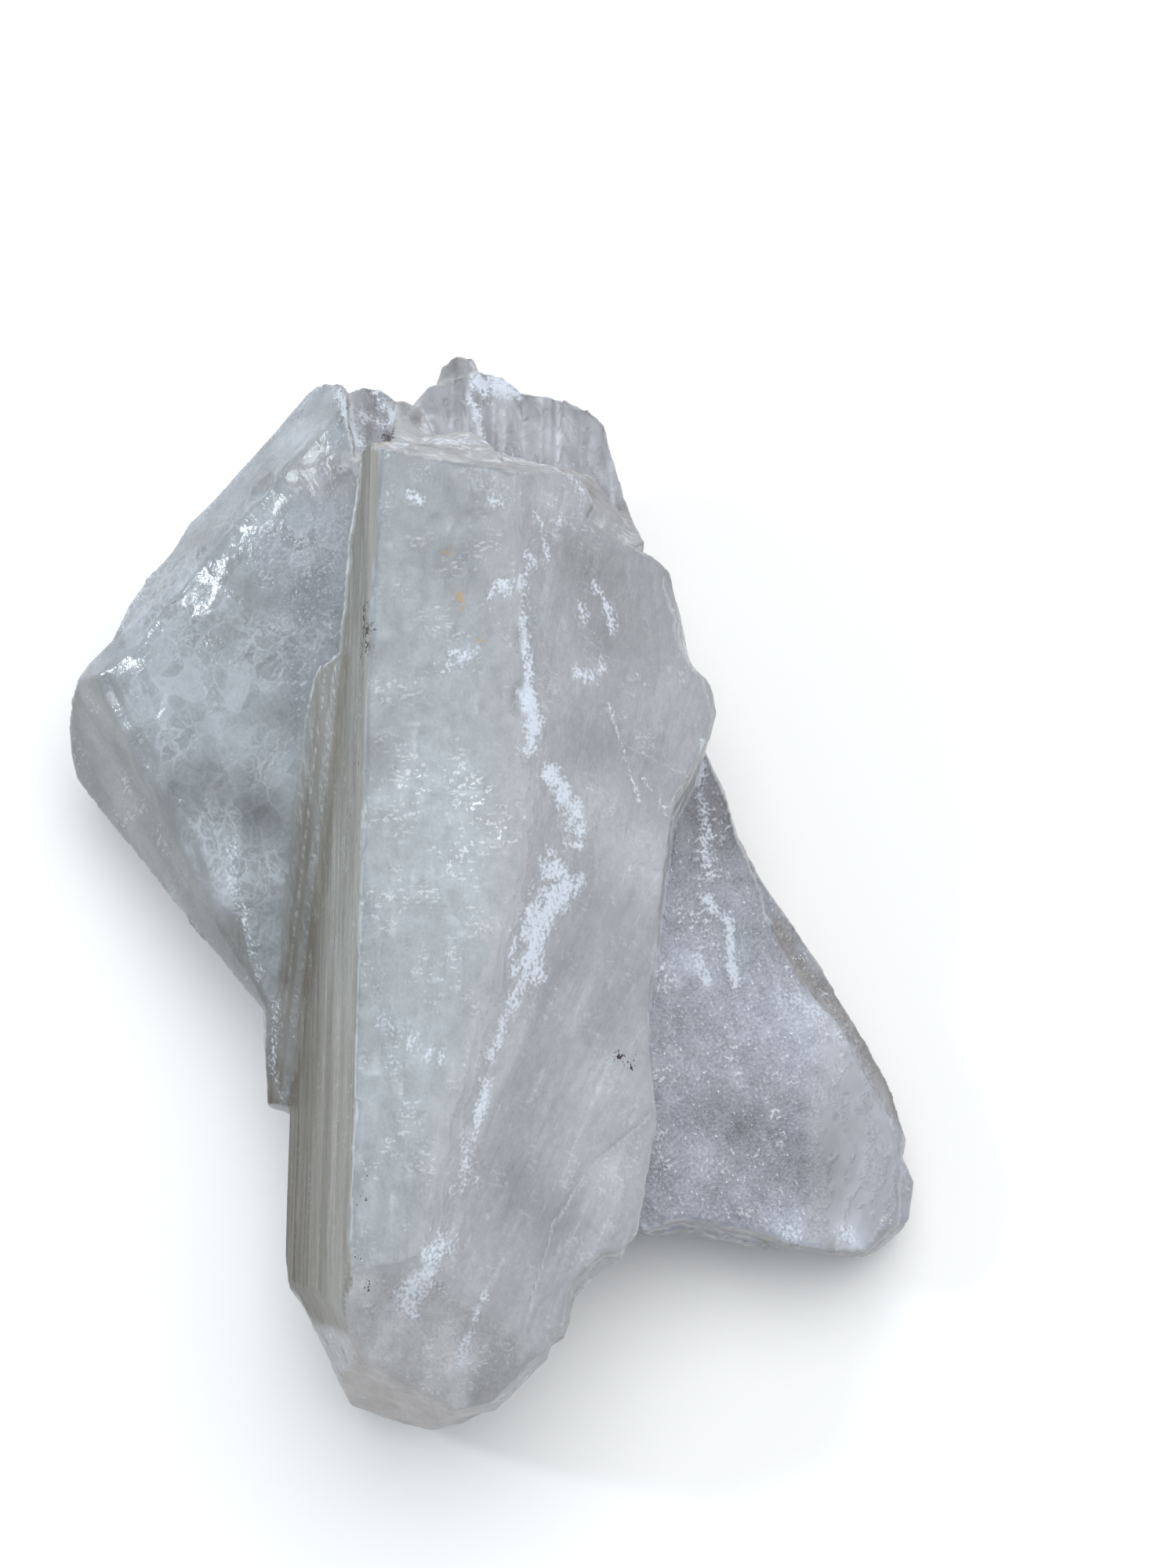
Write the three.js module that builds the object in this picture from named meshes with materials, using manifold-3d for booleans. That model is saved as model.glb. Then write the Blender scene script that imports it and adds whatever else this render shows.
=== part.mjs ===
// A hand specimen of selenite, the clear form of gypsum: blades that grew into each other and broke off
// together at their root. It lies on the flat cleavage back of its thickest blade.
// Millimetres. +Z is up from the table, and +Y runs along the main blade towards the root.

import * as THREE from "three";
import { mergeVertices } from "three/addons/utils/BufferGeometryUtils.js";
import Module from "manifold-3d";

const wasm = await Module();
wasm.setup();

// Driving dimensions. Outlines are plan views, [x, y]. A face is given by three of its corners, [x, y, z],
// in counter-clockwise order as seen from outside the crystal.

const TALL = 60; // a slab starts this high, and its faces then cut it down
const REACH = 400; // longer than anything that a face has to cut away

// The main blade: a front face, a right face in two parts, a fluted left side and a chisel-shaped tip.
const MAIN_OUTLINE = [
  [-27, 50], [-20, 57], [-13, 57.5], [-7, 58], [1.5, 57.5], [9, 56], [14, 55], [17, 51.5], [20, 47],
  [22.5, 44], [25, 42], [26.5, 35.5], [27.5, 29.5], [30.5, 27], [31, 24], [29.5, 18], [27, 12.5],
  [25, 8.5], [23.5, -3], [21.5, -17], [21.5, -24], [22.5, -33.5], [22, -40.5], [20.5, -48], [18.5, -49],
  [18, -50.5], [15.5, -51], [11.5, -55], [10.5, -60.5], [8.5, -61.5], [8.5, -63.5], [6.5, -64.5],
  [1.5, -69], [-4.5, -70.5], [-10, -71.5], [-17.5, -68.5], [-20.5, -62], [-24, -55], [-26, -52.5],
  [-27, -46.5],
];
const MAIN_FRONT = [[-16, 50, 47.2], [-15.5, -57, 43.5], [5, 0, 45.5]];
const MAIN_RIGHT_UPPER = [[5, 0, 45.5], [30, 20, 33.5], [4, 38, 46.8]];
const MAIN_RIGHT_LOWER = [[5, -4, 45.3], [-8, -58, 43.4], [22, -34, 31]];
const MAIN_SHOULDER = [[-15, 54, 47], [-19, 20, 43.5], [-16, 0, 45.4]];
const MAIN_SIDE = [[-16, 50, 46.5], [-26.7, -40, 18], [-16, -57, 43]];
const MAIN_ROOT = [[-10, 55, 46.8], [10, 53, 44], [0, 61, 38]];
const MAIN_NOSE = [[-15.3, -55.5, 43.5], [-15.4, -64.8, 34.5], [-5.8, -69.2, 29]];
const MAIN_CHISEL = [[-15.4, -64.8, 33], [-10, -71, 8], [-5.8, -69.2, 28]];
const MAIN_TIP_LEFT = [[-16, -61, 39], [-22, -61, 17], [-15.4, -66, 32]];
const MAIN_UNDERCUTS = [
  [[-27, -46, 18], [-27, 40, 18], [-20, 0, 0]],
  [[22, -34, 28], [14, -10, 0], [32, 24, 31]],
  [[20, -48, 24], [-4, -70, 14], [4, -46, 0]],
  [[-19, -67, 10], [-10, -62, 0], [0, -70, 10]],
];
const SIDE_FLUTES = { count: 15, pitch: 2, depth: 0.45 };

// Cleavage steps of the main blade: inside each outline its faces lie lower by the given depth.
const MAIN_LEDGES = [
  {
    depth: 2.2,
    outline: [[6, 64], [8.2, 54], [12.4, 53.5], [14.2, 50], [13, 47.4], [18.9, 44.7], [36, 40], [36, 64]],
  },
  {
    depth: 0.35,
    outline: [[34, 29], [27.4, 29], [17.7, 24.2], [15.6, 20.4], [18.7, 15], [25.1, 12.7], [34, 12]],
  },
  {
    depth: 0.3,
    outline: [[18.6, -0.3], [12, -12], [2.6, -33], [-1.5, -45], [-3, -75], [40, -75], [40, -4]],
  },
  {
    depth: 0.45,
    outline: [[24, -9], [14.5, -23.7], [7.5, -36.4], [3.7, -46.4], [5, -75], [40, -75], [40, -9]],
  },
  { depth: 0.9, outline: [[25, -30], [14.5, -39.5], [9, -48], [6, -58], [0, -75], [40, -75], [40, -30]] },
  {
    depth: 0.2,
    outline: [[-14, -8], [-11.5, -27], [-10.7, -43.5], [-8.2, -49], [-9, -60], [-22, -60], [-22, -8]],
  },
];

// A thin layer at the foot of the fluted side. It leaves the side in a long crease and ends in a step.
const LAYER_OUTLINE = [
  [-30, -28.2], [-26.3, -29.1], [-20, -29], [-15, 28], [-19.4, 30], [-23, 28], [-30.5, 0], [-30.8, -15],
];
const LAYER_FACE = [[-19.4, 28.4, 37.7], [-28.2, -5, 23.5], [-26.3, -29.1, 19.2]];
const LAYER_UNDERCUT = [[-31, -28, 16], [-31, 40, 16], [-24, 0, 8]];

// The plate to the left: a broad tilted face, a bevel along its lower left edge and a narrow rim above.
const PLATE_OUTLINE = [
  [-18.5, 58], [-20, 67], [-21.5, 68.5], [-22.8, 69.6], [-24.6, 70.2], [-26.4, 69.4], [-30.2, 65.3],
  [-34.8, 60.8], [-39.5, 56.2], [-43.2, 53.4], [-45.5, 49.4], [-49.6, 45.3], [-51.6, 42.2], [-53.6, 36.4],
  [-56.5, 34.2], [-59.6, 30], [-60.5, 27], [-60.5, 23.5], [-59.8, 20.5], [-58.4, 18.5], [-54.2, 12.6],
  [-49.2, 6.8], [-41.5, -3], [-35.2, -11.3], [-31.2, -15.3], [-29, -16], [-20, -16], [-14, 0],
];
const PLATE_TOP = [[-17.5, 54, 43], [-53, 30, 27], [-29.5, -16, 20]];
const PLATE_BEVEL = [[-55.5, 31.5, 26.5], [-53, 9.5, 12], [-31.5, -13.5, 19.7]];
const PLATE_RIM = [[-21, 64, 43.3], [-23.5, 66.5, 40], [-54, 32, 26.6]];
const PLATE_BACK = [[-17.5, 54, 27], [-29.5, -16, 5], [-53, 30, 12]];
const PLATE_UNDERCUT = [[-58, 17, 13], [-38, 10, 4], [-33, -13, 18]];
const PLATE_LEDGES = [
  { depth: 0.35, outline: [[-26, 68], [-24, 58], [-30, 50], [-38, 45], [-44, 44], [-50, 50], [-36, 66]] },
  { depth: 0.3, outline: [[-62, 34], [-50, 34], [-46, 26], [-47, 20], [-44, 12], [-60, 10]] },
];

// The blade at the lower right: two layers, and the upper one stops short of the outer edge.
const RIGHT_OUTLINE = [
  [29.5, 20.5], [32.5, 14], [34.5, 8], [39, 1], [44, -6.5], [50.5, -16.5], [55, -24.5], [57, -31.5],
  [56.5, -34], [58, -37.5], [57.2, -42.5], [54, -45.6], [50.8, -48.2], [47.5, -49], [40, -48.2],
  [35.5, -46.6], [26, -45], [23.5, -45.5], [21, -46], [10, -40], [8, 10], [20, 28],
];
const RIGHT_UPPER_OUTLINE = [
  [29.5, 20.5], [32.5, 14], [34, 8], [37, 1], [37.5, -2], [40.5, -6.5], [44.5, -13.5], [48, -17.5],
  [51.5, -24], [55, -30], [56, -36], [55.5, -43], [51, -47.5], [47.5, -48], [40, -47], [35.5, -45.5],
  [26, -44], [21, -45.5], [10, -40], [8, 10], [20, 28],
];
const RIGHT_TOP = [[29.5, 20.5, 26], [21, -46, 18], [58, -38, 13]];
const RIGHT_BACK = [[29, 20, 11], [58, -38, 3], [21, -46, 4]];
const RIGHT_UNDERCUT = [[21, -46.5, 16], [40, -40, 3], [55, -48, 9]];
const RIGHT_LEDGE = 2.4;

// The shorter crystal behind the root end of the main blade, with grooves along it.
const TOP_OUTLINE = [
  [-11, 67.5], [-9, 70.5], [-2.5, 73], [1.5, 72.5], [4, 70.5], [10, 69.5], [13.5, 68], [16, 65.5],
  [17.5, 58.5], [19, 52.5], [21.5, 46], [10, 40], [-11, 50],
];
const TOP_FACE = [[18, 72, 33.5], [-12, 60, 39], [18, 44, 37.5]];
const TOP_BACK = [[-10, 70, 16], [18, 60, 14], [5, 45, 8]];
const TOP_FLUTES = { count: 12, pitch: 2.5, depth: 0.6 };

// Broken lumps of the root. Each has a plan outline and a sloping top.
const LUMPS = [
  { outline: [[-21, 54], [-20.5, 66.5], [-18, 68.7], [-15.5, 69], [-13.5, 67.5], [-12.5, 54]],
    top: [[-21, 67, 41.5], [-20, 57, 43], [-12.5, 60, 39.5]], low: 18 },
  { outline: [[-14, 54], [-13.2, 67.2], [-10, 66.8], [-7.5, 61], [-6.5, 54]],
    top: [[-13, 67, 39], [-13.5, 56, 44], [-7, 58, 41]], low: 18 },
  { outline: [[-9, 68], [-7.5, 74.5], [-5.3, 76.6], [-3, 76], [-2, 73], [-2.5, 68]],
    top: [[-8, 70, 36.5], [-2, 69, 36.2], [-4, 77, 34.5]], low: 24 },
  { outline: [[-10, 55], [-8.5, 60.5], [-4, 62], [-1, 60], [2, 55]],
    top: [[-9, 56, 44], [0, 56, 44.5], [-4, 62, 40]], low: 30 },
];

// Worn edges: rows of small chips between two points, on the side that faces outwards.
const CHIPPED_EDGES = [
  { from: [-16.2, 46, 46.8], to: [-15.6, -54, 43.7], out: [-0.5, 0, 1], count: 13, size: 2 },
  { from: [4.5, 30, 46.5], to: [5, 2, 45.6], out: [0.3, 0, 1], count: 6, size: 2 },
  { from: [4.4, -8, 45.2], to: [-7.4, -55, 43.5], out: [0.3, 0, 1], count: 8, size: 2.2 },
  { from: [-15, -55.5, 43.2], to: [-6, -54.5, 43.2], out: [0, -0.6, 1], count: 3, size: 1.6 },
  { from: [-54, 30, 26], to: [-34, -9, 20.5], out: [-0.4, -0.3, 1], count: 8, size: 2 },
  { from: [-24, 62, 41.5], to: [-52, 33, 27.5], out: [-0.4, 0.4, 1], count: 8, size: 2.4 },
  { from: [24, 40, 36.5], to: [30, 24, 33], out: [1, 0, 0.6], count: 5, size: 2.2 },
  { from: [26, 10, 36], to: [21.8, -40, 30], out: [1, 0, 0.6], count: 8, size: 2 },
  { from: [40, -3, 21.5], to: [55, -29, 14.5], out: [1, 0.5, 0.6], count: 7, size: 1.8 },
  { from: [-12, 55.5, 47], to: [8, 54, 45.5], out: [0, 0.7, 1], count: 6, size: 2 },
];

// A closed three.js geometry as a solid.
function solidOf(geometry) {
  const bare = geometry.index ? geometry.toNonIndexed() : geometry.clone();
  bare.deleteAttribute("normal");
  bare.deleteAttribute("uv");
  const merged = mergeVertices(bare, 1e-4);
  return new wasm.Manifold(
    new wasm.Mesh({
      numProp: 3,
      vertProperties: merged.attributes.position.array,
      triVerts: new Uint32Array(merged.index.array),
    }),
  );
}

function unionOf(solids) {
  return solids.reduce((sum, solid) => sum.add(solid));
}

// An upright slab with the given plan outline.
function slab(outline, low = 0) {
  const shape = new THREE.Shape(outline.map(([x, y]) => new THREE.Vector2(x, y)));
  const geometry = new THREE.ExtrudeGeometry(shape, { depth: TALL - low, bevelEnabled: false });
  return solidOf(geometry.translate(0, 0, low));
}

function planeOf(face) {
  const corners = face.map((corner) => new THREE.Vector3(...corner));
  const { normal } = new THREE.Plane().setFromCoplanarPoints(...corners);
  return { corners, normal };
}

// Everything outside the plane of a face, once that plane is moved outwards by the given distance.
function beyond(face, outwards) {
  const { corners, normal } = planeOf(face);
  const turn = new THREE.Quaternion().setFromUnitVectors(new THREE.Vector3(0, 0, 1), normal);
  const place = corners[0].clone().addScaledVector(normal, outwards);
  const block = new THREE.BoxGeometry(REACH, REACH, REACH).translate(0, 0, REACH / 2);
  return solidOf(block.applyQuaternion(turn).translate(...place.toArray()));
}

// A solid cut down to its faces.
function cutTo(solid, faces, outwards = 0) {
  return faces.reduce((rest, face) => rest.subtract(beyond(face, outwards)), solid);
}

// A solid stepped down inside each outline, parallel to its faces.
function stepDown(solid, faces, ledges) {
  return ledges.reduce((rest, { outline, depth }) => {
    const kept = cutTo(slab(outline), faces, -depth);
    return rest.subtract(slab(outline).subtract(kept));
  }, solid);
}

// Shallow grooves in a face, side by side, running from its first corner towards its last.
function flutes(face, { count, pitch, depth }) {
  const { corners, normal } = planeOf(face);
  const [start, , end] = corners;
  const along = end.clone().sub(start).normalize();
  const across = along.clone().cross(normal);
  const comb = new THREE.Shape();
  comb.moveTo(-pitch, depth);
  for (let i = 0; i < count; i += 1) {
    const crest = pitch * (i + 0.25 * Math.sin(2.4 * i));
    comb.lineTo(crest, -0.1 * depth * (i % 3));
    comb.lineTo(crest + pitch * (0.45 + 0.2 * Math.sin(1.7 * i)), -depth * (0.7 + 0.3 * Math.sin(3.1 * i)));
  }
  comb.lineTo(count * pitch, depth);
  const length = start.distanceTo(end) + 2 * REACH / 10;
  const geometry = new THREE.ExtrudeGeometry(comb, { depth: length, bevelEnabled: false });
  geometry.translate(0, 0, -REACH / 10);
  const place = new THREE.Matrix4().makeBasis(across, normal, along.clone().negate()).setPosition(end);
  return solidOf(geometry.applyMatrix4(place));
}

// Small flat-sided chips in a row along an edge, no two alike.
function chips({ from, to, out, count, size }) {
  const start = new THREE.Vector3(...from);
  const along = new THREE.Vector3(...to).sub(start);
  const lengthwise = new THREE.Quaternion().setFromUnitVectors(
    new THREE.Vector3(0, 1, 0),
    along.clone().normalize(),
  );
  const outwards = new THREE.Vector3(...out).normalize();
  const row = [];
  for (let i = 0; i < count; i += 1) {
    const radius = size * (1 + 0.35 * Math.sin(3.7 * i));
    const place = start.clone().addScaledVector(along, (i + 0.5 + 0.3 * Math.sin(5.1 * i)) / count);
    place.addScaledVector(outwards, radius * (0.62 + 0.12 * Math.sin(2.3 * i)));
    const chip = new THREE.IcosahedronGeometry(radius, 0).rotateX(1.3 * i).rotateZ(0.9 * i);
    chip.scale(1, 2.2 + Math.sin(1.9 * i), 0.8).applyQuaternion(lengthwise);
    row.push(solidOf(chip.translate(...place.toArray())));
  }
  return unionOf(row);
}

function mainBlade() {
  const tops = [MAIN_FRONT, MAIN_RIGHT_UPPER, MAIN_RIGHT_LOWER];
  const blade = cutTo(slab(MAIN_OUTLINE), [
    ...tops,
    MAIN_SHOULDER,
    MAIN_SIDE,
    MAIN_ROOT,
    MAIN_NOSE,
    MAIN_CHISEL,
    MAIN_TIP_LEFT,
    ...MAIN_UNDERCUTS,
  ]);
  const layer = cutTo(slab(LAYER_OUTLINE), [...tops, MAIN_SHOULDER, LAYER_FACE, LAYER_UNDERCUT]);
  return stepDown(blade, tops, MAIN_LEDGES)
    .subtract(flutes(MAIN_SIDE, SIDE_FLUTES))
    .add(layer.subtract(flutes(LAYER_FACE, SIDE_FLUTES)));
}

function leftPlate() {
  const plate = cutTo(slab(PLATE_OUTLINE), [PLATE_TOP, PLATE_BEVEL, PLATE_RIM, PLATE_BACK, PLATE_UNDERCUT]);
  return stepDown(plate, [PLATE_TOP], PLATE_LEDGES);
}

function rightBlade() {
  const lower = cutTo(slab(RIGHT_OUTLINE), [RIGHT_TOP], -RIGHT_LEDGE);
  const upper = cutTo(slab(RIGHT_UPPER_OUTLINE), [RIGHT_TOP]);
  return cutTo(lower.add(upper), [RIGHT_BACK, RIGHT_UNDERCUT]);
}

function topCrystal() {
  return cutTo(slab(TOP_OUTLINE), [TOP_FACE, TOP_BACK]).subtract(flutes(TOP_FACE, TOP_FLUTES));
}

function rootLumps() {
  return unionOf(LUMPS.map(({ outline, top, low }) => cutTo(slab(outline, low), [top])));
}

function geometryOf(solid) {
  const { vertProperties, triVerts } = solid.getMesh();
  const geometry = new THREE.BufferGeometry();
  geometry.setAttribute("position", new THREE.BufferAttribute(vertProperties, 3));
  geometry.setIndex(new THREE.BufferAttribute(triVerts, 1));
  return geometry;
}

const grown = unionOf([mainBlade(), leftPlate(), rightBlade(), topCrystal(), rootLumps()]);
const cluster = grown.subtract(unionOf(CHIPPED_EDGES.map(chips)));

// The origin is under the middle of the specimen, on the table.
const geometry = geometryOf(cluster);
geometry.computeBoundingBox();
const middle = geometry.boundingBox.getCenter(new THREE.Vector3());
geometry.translate(-middle.x, -middle.y, 0);
geometry.computeVertexNormals();

const selenite = new THREE.MeshStandardMaterial({
  color: 0xaeb5bc,
  roughness: 0.35,
  metalness: 0,
  flatShading: true,
});
const crystalCluster = new THREE.Mesh(geometry, selenite);
crystalCluster.name = "crystal_cluster";

const specimen = new THREE.Group();
specimen.add(crystalCluster);

export default specimen;
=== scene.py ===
import itertools
import math

import bpy
import numpy as np
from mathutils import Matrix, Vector


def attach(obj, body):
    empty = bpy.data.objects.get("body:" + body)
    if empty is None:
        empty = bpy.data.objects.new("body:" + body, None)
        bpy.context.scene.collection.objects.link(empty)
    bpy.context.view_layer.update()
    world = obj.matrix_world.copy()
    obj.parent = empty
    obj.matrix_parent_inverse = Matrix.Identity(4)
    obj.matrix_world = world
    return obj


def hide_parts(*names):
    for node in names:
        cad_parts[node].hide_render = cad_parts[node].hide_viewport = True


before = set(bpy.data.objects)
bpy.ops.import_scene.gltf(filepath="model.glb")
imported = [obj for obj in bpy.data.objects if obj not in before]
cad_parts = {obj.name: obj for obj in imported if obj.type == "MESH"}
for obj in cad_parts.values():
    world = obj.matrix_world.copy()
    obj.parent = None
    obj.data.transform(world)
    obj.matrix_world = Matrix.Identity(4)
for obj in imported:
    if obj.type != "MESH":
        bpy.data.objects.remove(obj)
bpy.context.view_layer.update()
MM = 0.001

# The view: the specimen lies on a table and is seen from above, from the side of its tip.
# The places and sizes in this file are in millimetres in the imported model's frame, with +Y towards the root.
VIEW_POINT = Vector((14.75, 12.2, 25))
VIEW_ELEVATION = math.radians(70)
VIEW_DISTANCE = 361
LENS = 60
SENSOR_WIDTH = 36
NEAREST_SEEN = 10

towards_eye = Vector((0, -math.cos(VIEW_ELEVATION), math.sin(VIEW_ELEVATION)))
camera_data = bpy.data.cameras.new("camera")
camera_data.lens = LENS
camera_data.sensor_width = SENSOR_WIDTH
camera_data.clip_start = NEAREST_SEEN * MM
camera = bpy.data.objects.new("camera", camera_data)
camera.location = (VIEW_POINT + towards_eye * VIEW_DISTANCE) * MM
camera.rotation_euler = towards_eye.to_track_quat("Z", "Y").to_euler()
bpy.context.collection.objects.link(camera)
bpy.context.scene.camera = camera
bpy.context.scene.view_settings.view_transform = "Standard"

# The table: a plain pale board, wide enough to fill every view.
# It is matt, so it only takes the specimen's soft shadow.
TABLE_HALF = 4000
TABLE_TOP = -0.1
TABLE_COLOUR = (0.9, 0.9, 0.9, 1)
TABLE_ROUGHNESS = 0.8

table_mesh = bpy.data.meshes.new("table")
table_corners = [(-1, -1), (1, -1), (1, 1), (-1, 1)]
table_mesh.from_pydata(
    [Vector((x * TABLE_HALF, y * TABLE_HALF, TABLE_TOP)) * MM for x, y in table_corners],
    [],
    [(0, 1, 2, 3)],
)
table = bpy.data.objects.new("table", table_mesh)
bpy.context.collection.objects.link(table)
matt_board = bpy.data.materials.new("matt_board")
matt_board.use_nodes = True
matt_board.node_tree.nodes["Principled BSDF"].inputs["Base Color"].default_value = TABLE_COLOUR
matt_board.node_tree.nodes["Principled BSDF"].inputs["Roughness"].default_value = TABLE_ROUGHNESS
table_mesh.materials.append(matt_board)

# The light: one broad soft light overhead, and a small one at the far left that wakes the glints.
# The rest is a pale, even room.
LIGHTS = {
    "overhead": {"place": (200, 330, 1100), "size": 1400, "watts": 11.2, "colour": (1, 1, 1)},
    "window": {"place": (-820, 140, 700), "size": 130, "watts": 2.4, "colour": (0.85, 0.93, 1)},
}
ROOM_COLOUR = (0.93, 0.97, 1, 1)
ROOM_STRENGTH = 0.55

for name, light in LIGHTS.items():
    lamp = bpy.data.lights.new(name, "AREA")
    lamp.shape = "DISK"
    lamp.size = light["size"] * MM
    lamp.energy = light["watts"]
    lamp.color = light["colour"]
    holder = bpy.data.objects.new(name, lamp)
    holder.location = Vector(light["place"]) * MM
    holder.rotation_euler = Vector(light["place"]).to_track_quat("Z", "Y").to_euler()
    bpy.context.collection.objects.link(holder)
room = bpy.data.worlds.new("room")
room.use_nodes = True
room.node_tree.nodes["Background"].inputs["Color"].default_value = ROOM_COLOUR
room.node_tree.nodes["Background"].inputs["Strength"].default_value = ROOM_STRENGTH
bpy.context.scene.world = room

# The body: the whole grown cluster as one closed skin, fine enough to carry cleavage steps and fibres.
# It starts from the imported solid's own surface, so it keeps that size and place.
WELD_GAP = 0.01
SKIN_STEP = 0.42
SKIN_TRIANGLES = 196000

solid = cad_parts["crystal_cluster"]
crystal = bpy.data.objects.new("selenite_cluster", solid.data.copy())
bpy.context.collection.objects.link(crystal)


def apply_modifiers(piece):
    """Swaps the piece's mesh for the one that its modifiers make."""
    scene_state = bpy.context.evaluated_depsgraph_get()
    finished = bpy.data.meshes.new_from_object(piece.evaluated_get(scene_state))
    piece.modifiers.clear()
    piece.data = finished


weld = crystal.modifiers.new("weld", "WELD")
weld.merge_threshold = WELD_GAP * MM
remesh = crystal.modifiers.new("remesh", "REMESH")
remesh.mode = "VOXEL"
remesh.voxel_size = SKIN_STEP * MM
wrap = crystal.modifiers.new("wrap", "SHRINKWRAP")
wrap.target = solid
apply_modifiers(crystal)

# Wear: the edges are rubbed round, most of all at the tip and along the lower part of the ridge.
# Each worn edge is a path with the half width that is rounded.
WEAR_ROUNDS = 24
WEAR_STEP = 0.6
WEAR_EVERYWHERE = 0.09
# The inner share of the half width that is worn in full.
WEAR_CORE = 0.4
# The heights between which wear sets in, so that the resting face stays flat.
WEAR_HEIGHTS = (0.2, 1.5)
WORN_EDGES = [
    ([(-15, -58.5), (-4, -57.5), (4, -62)], 4.5),
    ([(7, -10), (-5, -56)], 3.5),
    ([(-14, -67), (-4, -72)], 2),
    ([(20, 20), (27, 27)], 5),
    ([(-49, 31), (-45, 23), (-46, 17), (-43, 9), (-40, 5), (-37, 0), (-34, -7)], 2),
    ([(-50, 31), (-47, 24), (-46, 17), (-43.5, 9)], 4),
    ([(-23, 55), (-29, 47), (-37, 42), (-43, 41)], 2),
    ([(-19, 52), (-21, 50)], 3),
    ([(-12.8, -11), (-10.2, -30), (-9.4, -46.5), (-7, -52), (-7.8, -63)], 1.5),
]


def places_and_normals(mesh):
    """The mesh's points in millimetres, and their normals."""
    places = np.empty(len(mesh.vertices) * 3)
    normals = np.empty(len(mesh.vertices) * 3)
    mesh.vertices.foreach_get("co", places)
    mesh.vertex_normals.foreach_get("vector", normals)
    return places.reshape(-1, 3) / MM, normals.reshape(-1, 3)


def smooth_step(low, high, value):
    """Runs smoothly from 0 to 1 as the value goes from low to high."""
    t = np.clip((value - low) / (high - low), 0, 1)
    return t * t * (3 - 2 * t)


def gap_to_path(places, path):
    """The distance in plan from each point to a path."""
    best = np.full(len(places), np.inf)
    for start, end in zip(path[:-1], path[1:]):
        start, end = np.array(start, float), np.array(end, float)
        run = end - start
        t = np.clip((places[:, :2] - start) @ run / (run @ run), 0, 1)
        best = np.minimum(best, np.linalg.norm(places[:, :2] - start - t[:, None] * run, axis=1))
    return best


def neighbours_of(mesh):
    """Every pair of neighbouring points, both ways round, as two lists."""
    ends = np.empty(len(mesh.edges) * 2, dtype=np.int64)
    mesh.edges.foreach_get("vertices", ends)
    ends = ends.reshape(-1, 2)
    return np.concatenate([ends, ends[:, ::-1]]).T


def neighbour_middles(neighbours, places):
    """The middle of each point's neighbours."""
    here, there = neighbours
    count = np.maximum(np.bincount(here, minlength=len(places)), 1)
    sums = [np.bincount(here, places[there, axis], len(places)) for axis in range(3)]
    return np.stack(sums, axis=1) / count[:, None]


places, _ = places_and_normals(crystal.data)
worn = np.full(len(places), WEAR_EVERYWHERE)
for path, half_width in WORN_EDGES:
    core = WEAR_CORE * half_width
    worn = np.maximum(worn, smooth_step(half_width, core, gap_to_path(places, path)))
worn *= smooth_step(*WEAR_HEIGHTS, places[:, 2])
neighbours = neighbours_of(crystal.data)
for _ in range(WEAR_ROUNDS):
    places += WEAR_STEP * worn[:, None] * (neighbour_middles(neighbours, places) - places)
crystal.data.vertices.foreach_set("co", (places * MM).ravel())
crystal.data.update()

# Main blade, front face: a broad cleavage face along the blade.
# It is silky, with low terraces that run lengthwise, shallow pits and clouds just under the surface.
FRONT_CORNERS = [(-14.75, 47.2, 47.2), (-14.25, -59.8, 43.5), (6.25, -2.8, 45.5)]
FRONT_MILK = 0.58
# Clouds and veils are soft spots, each x, y, radius and how much milkier it is there.
FRONT_CLOUDS = [
    (-4.5, 2.5, 7, 0.2), (-0.5, -6, 7, 0.2), (2, -14, 5, 0.15), (-8, -16.5, 6, 0.1), (-6, -30, 5, 0.1),
    (-4, -42, 6, 0.05), (-2, 37, 5, -0.2), (-1, 47, 5, -0.15), (-13, 55, 5, -0.2), (-14, 12, 4, -0.15),
]

# Large odd numbers that stir a cell's three counts and the seed into one random key.
CELL_KEYS = np.array([73856093, 19349663, 83492791])
SEED_KEY = 668265263
STIRS = [(15, 2246822519), (13, 3266489917)]
KEPT_BITS = 65535
# Each finer layer of rough noise steps the seed on by the first, and is weaker by the second.
LAYER_SEED = 17
LAYER_FADE = 1.8
# The flat share of each terrace. The rest is its riser.
TREAD = 0.75


def scatter(cell, seed):
    """A random number from 0 to 1 for each whole-number cell, always the same one."""
    key = cell @ CELL_KEYS + seed * SEED_KEY
    for shift, factor in STIRS:
        key = (key ^ (key >> shift)) * factor
    return ((key >> 16) & KEPT_BITS) / KEPT_BITS


def noise(places, size, seed):
    """Smooth noise from about -1 to 1, with lumps of the given size along each axis."""
    grid = places / np.asarray(size, float)
    cell = np.floor(grid).astype(np.int64)
    within = grid - cell
    fade = within**3 * (within * (within * 6 - 15) + 10)
    total = np.zeros(len(places))
    for corner in itertools.product((0, 1), repeat=3):
        weight = np.prod(np.where(corner, fade, 1 - fade), axis=1)
        total += weight * (2 * scatter(cell + corner, seed) - 1)
    return total


def rough_noise(places, size, seed, layers=3):
    """Noise with finer and weaker noise on top of it."""
    size = np.asarray(size, float)
    return sum(noise(places, size / 2**i, seed + LAYER_SEED * i) / LAYER_FADE**i for i in range(layers))


def ledges(height, rise):
    """Turns a rolling height into flat terraces that end in steep risers."""
    level = height / rise
    floor_level = np.floor(level)
    return (floor_level + smooth_step(TREAD, 1, level - floor_level)) * rise


def spots(places, blobs):
    """Adds up soft round spots, each given as x, y, radius and amount."""
    total = np.zeros(len(places))
    for x, y, radius, amount in blobs:
        gap = np.hypot(places[:, 0] - x, places[:, 1] - y)
        total += amount * np.exp(-((gap / radius) ** 2))
    return total


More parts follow.
